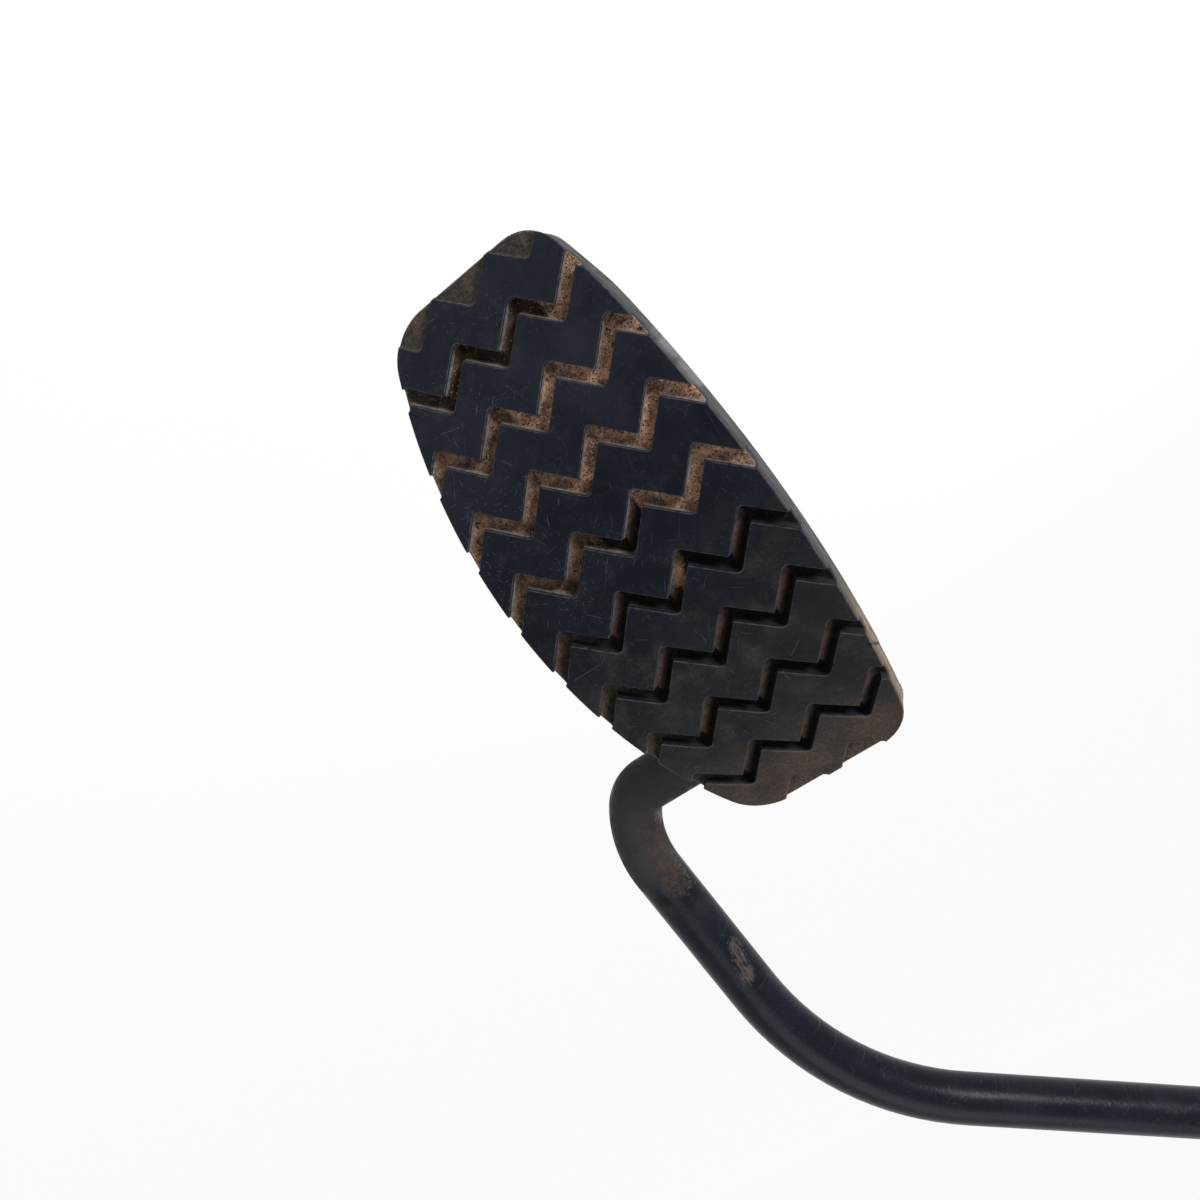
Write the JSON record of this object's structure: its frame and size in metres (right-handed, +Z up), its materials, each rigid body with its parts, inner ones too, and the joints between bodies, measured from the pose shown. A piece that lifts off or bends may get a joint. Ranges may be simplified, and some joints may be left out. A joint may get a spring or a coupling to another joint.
{
  "type": "accelerator pedal",
  "caption": "Hanging accelerator pedal: bowed rubber tread pad hinged on a bent round bar, with a bulkhead bracket, cable lever, stops and return spring.",
  "frame": {"origin": "centre of the four mounting holes, on the mounting plate's face against the bulkhead", "axes": "+X driver's right and along the pivot shaft, +Y forwards into the bulkhead, +Z up"},
  "size_m": [0.1605, 0.2128, 0.2308],
  "materials": {
    "tread_rubber": "worn black rubber, dusty in the grooves",
    "plate_steel": "dull pressed steel with light rust",
    "bright_steel": "dull bright steel",
    "spring_steel": "oiled spring steel",
    "rod_paint": "satin black paint, scuffed and rusty at the bends",
    "nylon": "natural nylon",
    "bracket_paint": "satin black paint",
    "buffer_rubber": "matt black rubber",
    "plated_steel": "yellow passivated zinc plating"
  },
  "bodies": {
    "bracket": {"mounting_plate": "bracket_paint", "pivot_fork": "bracket_paint", "shaft_bush_right": "nylon", "shaft_bush_left": "nylon", "return_spring": "spring_steel", "idle_buffer": "buffer_rubber", "stop_screw": "plated_steel", "stop_lock_nut": "plated_steel", "stop_weld_nut": "plated_steel"},
    "pedal": {"pedal_rod": "rod_paint", "cable_lever": "rod_paint", "cable_bush": "nylon", "spring_spool": "nylon", "plain_washer": "bright_steel", "wave_washer": "spring_steel", "shaft_clip": "spring_steel", "stop_pin": "bright_steel", "pad_spring": "spring_steel"},
    "pad": {"tread_pad": "tread_rubber", "pad_plate": "plate_steel"}
  },
  "joints": [
    {"name": "pedal_pivot", "type": "hinge", "parent": "bracket", "child": "pedal", "pos_m": [0, -0.026, 0], "axis": [1, 0, 0], "range_deg": [0, 18], "stiffness_Nm_per_rad": 1.07, "springref_deg": -63.03, "deforming": ["return_spring"]},
    {"name": "pad_hinge", "type": "hinge", "parent": "pedal", "child": "pad", "pos_m": [0.06866, -0.15203, -0.10084], "axis": [1, 0, 0], "range_deg": [0, 15], "stiffness_Nm_per_rad": 0.13, "springref_deg": -68.75, "deforming": ["pad_spring"]}
  ]
}
